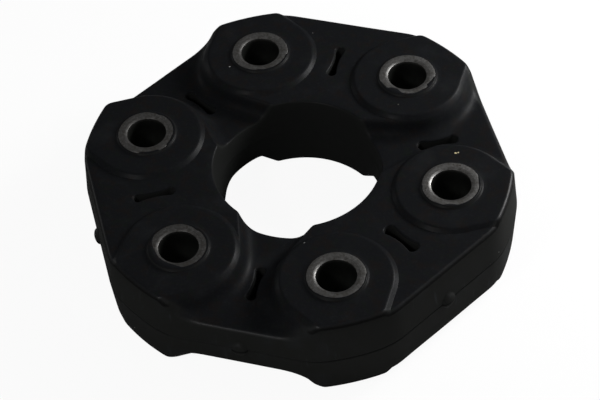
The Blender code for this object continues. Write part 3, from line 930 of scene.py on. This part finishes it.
# Rubber flash that creeps over a sleeve's end: turn in degrees, and radius where the film stops
flashEdges = {
    1: [(-180, 8.6), (-166, 8.6), (-162, 8.3), (-157, 8.55), (-120, 8.5), (-92, 8.35), (-84, 7.85),
        (-72, 7.9), (-64, 8.3), (5, 8.3), (17, 8.15), (30, 8.35), (42, 8.6), (60, 8.85)],
    2: [(-180, 8.6), (-150, 8.55), (-138, 8.25), (-123, 8.2), (-117, 7.2), (-108, 6.8), (-98, 6.95),
        (-90, 7.8), (-80, 8.1), (-60, 8.25), (-46, 8.15), (-41, 7.9), (-36, 8.2), (-26, 8.2),
        (-21, 7.4), (-12, 7.75), (0, 8.1), (10, 8.6), (30, 8.85)],
    3: [(-180, 8.6), (-130, 8.55), (-100, 8.4), (-82, 8.3), (-76, 7.9), (-68, 8.1), (-30, 8.25),
        (4, 8.3), (8, 8.75), (60, 8.85)],
    4: [(-180, 8.6), (-118, 8.65), (-110, 8.85), (-90, 8.85), (-84, 8.15), (-48, 8.2), (-42, 8.75),
        (-30, 8.7), (-22, 8.25), (0, 8.05), (12, 8.2), (60, 8.3), (74, 8.25), (80, 8.0), (86, 8.25),
        (110, 8.5), (130, 8.85)],
    5: [(-180, 8.1), (-168, 7.6), (-152, 6.95), (-135, 6.75), (-98, 6.72), (-84, 6.95), (-73, 7.4),
        (-64, 8.1), (-30, 8.2), (58, 8.2), (64, 7.85), (70, 7.95), (76, 8.25), (100, 8.5), (140, 8.6),
        (165, 8.5)],
    6: [(-180, 8.75), (-140, 8.75), (-128, 8.5), (-90, 8.35), (0, 8.4), (19, 8.45), (22, 8.8),
        (60, 8.85)],
}
flash = {
    "film": 0.07,              # thickness over the end face
    "fullCover": 0.3,          # over this width the film climbs from the side on to the face
    "outer": 9.85,
    "steps": 240,
    "ragged": 0.05,            # height of the waves along the film's edge
    "raggedness": 7,           # waves to a radian
    "seedStep": 5.7,           # each sleeve's edge takes its own stretch of noise
    "smoothing": 2,            # degrees on either side that an edge's corners are evened over
    "smoothAngle": 60,
}


def filmSection(edge, upper):
    # one radial section of the film, from the sleeve's side over its edge and down the ramp
    side = sleeveRadius + 0.02
    cover = min(max((sleeveRadius - 0.05 - edge) / flash["fullCover"], 0), 1) if upper else 0
    thick = flash["film"] * cover

    def between(low, high):
        return low + (high - low) * cover

    def ramp(radius):
        return bossTop + body["rampRise"] * (1 - float(smoothStep(radius, seatRadius, body["rampReach"])))

    return [
        (side, bossTop - 0.2),
        (side, sleeveTop - 0.36),
        (between(side, edge), sleeveTop - between(0.3, 0.02)),
        (between(side + 0.03, edge + 0.05), sleeveTop - between(0.24, -thick * 0.7)),
        (between(side + 0.08, (edge + sleeveRadius) / 2 + 0.1), sleeveTop - between(0.22, -thick)),
        (sleeveRadius + 0.16, sleeveTop - between(0.24, 0.03)),
        (sleeveRadius + 0.27, sleeveTop - between(0.33, 0.14)),
        (sleeveRadius + 0.42, ramp(sleeveRadius + 0.42) + 0.17),
        (sleeveRadius + 0.62, ramp(sleeveRadius + 0.62) + 0.05),
        (flash["outer"], ramp(flash["outer"]) - 0.03),
        (flash["outer"], bossTop - 0.3),
    ]


def filmMesh(index, upper):
    verts = []
    turns, radii = zip(*flashEdges[index], (180, flashEdges[index][0][1]))
    steps, smoothing = flash["steps"], flash["smoothing"]
    for i in range(steps):
        turn = 360 * i / steps - 180
        ahead = direction(turn)
        nearby = np.interp([turn - smoothing, turn, turn + smoothing], turns, radii).mean()
        place = Vector((*(ahead * flash["raggedness"]), index * flash["seedStep"]))
        section = filmSection(nearby + noise.noise(place) * flash["ragged"], upper)
        verts += [(radius * ahead[0], radius * ahead[1], z if upper else -z) for radius, z in section]
    faces = wrapFaces(steps, len(section))
    return verts, [(a, d, c, b) if upper else (b, c, d, a) for a, b, c, d in faces]


buriedLooks = {                # inside the rubber: name, colour, tint, grain in mm, roughness, metallic
    "collar": ("collarSteel", (0.36, 0.36, 0.37, 1), (0.25, 0.24, 0.23, 1), 3.0, 0.4, 1.0),
    "cord": ("dippedCord", (0.62, 0.55, 0.40, 1), (0.45, 0.36, 0.22, 1), 1.5, 0.7, 0.0),
}


def buriedFinish(name, colour, tint, size, roughness, metallic):
    buried = Recipe(name, Metallic=metallic)
    cloud = buried.grain(size, 3, 0.6)
    buried.feed("Base Color", buried.mix(cloud, colour, tint))
    buried.feed("Roughness", roughness + cloud * 0.2)
    buried.feed("Normal", buried.bump(buried.grain(size / 3, 2, 0.5), 0.03))
    return buried.material


# Build and place every piece
def settle(piece, material, slot, *nodes):
    piece.data.materials.clear()
    piece.data.materials.append(material)
    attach(piece, "root")
    if nodes:
        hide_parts(*nodes)


rubberMaterial = rubberFinish()
moulding = buildRubber()
settle(moulding, rubberMaterial, "rubber", "rubber_body")
print("rubber moulding:", len(moulding.data.polygons), "faces")

sleeveVerts, sleeveFaces = turnedMesh(sleeveProfile(), sleeve["steps"])
for number in range(1, sleeveCount + 1):
    x, y = sleeveAxes[number - 1]
    turned = makeObject(f"boltSleeve{number}", sleeveVerts, sleeveFaces, (x, y, 0))
    settle(turned, sleeveFinish(number), "sleeve_steel", f"sleeve_{number}")
    for upper in (True, False):
        verts, faces = filmMesh(number, upper)
        side = "upper" if upper else "lower"
        skin = makeObject(f"{side}Flash{number}", verts, faces, (x, y, 0), flash["smoothAngle"])
        settle(skin, rubberMaterial, "rubber")
print("sleeves and flash placed")

for kind, values in buriedLooks.items():
    buriedMaterial = buriedFinish(*values)
    for name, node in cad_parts.items():
        if kind in name:
            node.data.materials.clear()
            node.data.materials.append(buriedMaterial)
print("buried pieces finished")

# Studio: floor, soft lamps, camera at the photograph's angle
studio = {
    "floorHalf": 1500.0,
    "paper": (0.86, 0.86, 0.86, 1),
    "glow": 0.93,               # share of plain white in what the camera sees of the floor
    "ambient": 0.24,
    "lamps": {                  # turn from +X and height in degrees, distance and size in mm, watts
        "keyLamp": (42, 28, 320, 90, 0.86),
        "softLamp": (40, 29, 420, 300, 0.8),
        "edgeLamp": (-110, 45, 700, 120, 1.1),
        "frontLamp": (-104, 20, 1100, 900, 1.1),
        "fillLamp": (166, 12, 900, 200, 0.5),
    },
}
view = {
    "azimuth": 20.027,
    "elevation": 48.228,
    "roll": -5.308,
    "distance": 660.077,
    "sideways": -1.103,
    "upwards": 12.764,
    "lens": 131.096,
    "sensor": 36.0,
    "clip": (0.01, 20),         # in metres
}


def buildFloor():
    half = studio["floorHalf"]
    corners = [(-half, -half, 0), (half, -half, 0), (half, half, 0), (-half, half, 0)]
    floor = makeObject("studioFloor", corners, [(0, 1, 2, 3)], (0, 0, -sleeveTop))
    paper = Recipe("paleFloor", Base_Color=studio["paper"], Roughness=0.9, Specular_IOR_Level=0.1)
    glow = paper.node("ShaderNodeLightPath", {}, {}, "Is Camera Ray") * studio["glow"]
    lit = paper.node("ShaderNodeEmission", {}, {"Color": (1, 1, 1, 1), "Strength": 1.0})
    plain = Wire(paper, paper.shader.outputs[0])
    mixed = paper.node("ShaderNodeMixShader", {}, {0: glow, 1: plain, 2: lit})
    paper.plug(mixed, paper.tree.nodes["Material Output"].inputs["Surface"])
    floor.data.materials.append(paper.material)


def buildLamps():
    for name, (turn, height, distance, size, watts) in studio["lamps"].items():
        lamp = bpy.data.lights.new(name, "AREA")
        lamp.shape = "DISK"
        lamp.size = size * mm
        lamp.energy = watts
        stand = bpy.data.objects.new(name, lamp)
        flat = direction(turn) * math.cos(math.radians(height))
        spot = Vector((flat[0], flat[1], math.sin(math.radians(height)))) * distance * mm
        stand.location = spot
        stand.rotation_euler = spot.to_track_quat("Z", "Y").to_euler()
        bpy.context.scene.collection.objects.link(stand)


def buildWorld():
    world = bpy.data.worlds.new("paleStudio")
    bpy.context.scene.world = world
    world.use_nodes = True
    tree = world.node_tree
    tree.nodes.clear()
    path = tree.nodes.new("ShaderNodeLightPath")
    strength = tree.nodes.new("ShaderNodeMapRange")
    tree.links.new(path.outputs["Is Camera Ray"], strength.inputs[0])
    strength.inputs[3].default_value = studio["ambient"]
    strength.inputs[4].default_value = 1.0
    shade = tree.nodes.new("ShaderNodeBackground")
    tree.links.new(strength.outputs[0], shade.inputs["Strength"])
    out = tree.nodes.new("ShaderNodeOutputWorld")
    tree.links.new(shade.outputs[0], out.inputs["Surface"])


def buildCamera():
    turn, rise, roll = (math.radians(view[key]) for key in ("azimuth", "elevation", "roll"))
    back = Vector((math.sin(turn) * math.cos(rise), -math.cos(turn) * math.cos(rise), math.sin(rise)))
    level = Vector((math.cos(turn), math.sin(turn), 0))
    up = back.cross(level)
    right = level * math.cos(roll) + up * math.sin(roll)
    upright = up * math.cos(roll) - level * math.sin(roll)
    spot = back * view["distance"] - right * view["sideways"] - upright * view["upwards"]
    spot.z += sleeveTop
    camera = bpy.data.cameras.new("photoCamera")
    camera.lens = view["lens"]
    camera.sensor_width = view["sensor"]
    camera.sensor_fit = "HORIZONTAL"
    camera.clip_start, camera.clip_end = view["clip"]
    stand = bpy.data.objects.new("photoCamera", camera)
    stand.matrix_world = Matrix.Translation(spot * mm) @ Matrix((right, upright, back)).transposed().to_4x4()
    bpy.context.scene.collection.objects.link(stand)
    bpy.context.scene.camera = stand


buildFloor()
buildLamps()
buildWorld()
buildCamera()
bpy.context.scene.view_settings.view_transform = "Standard"
print("studio ready")
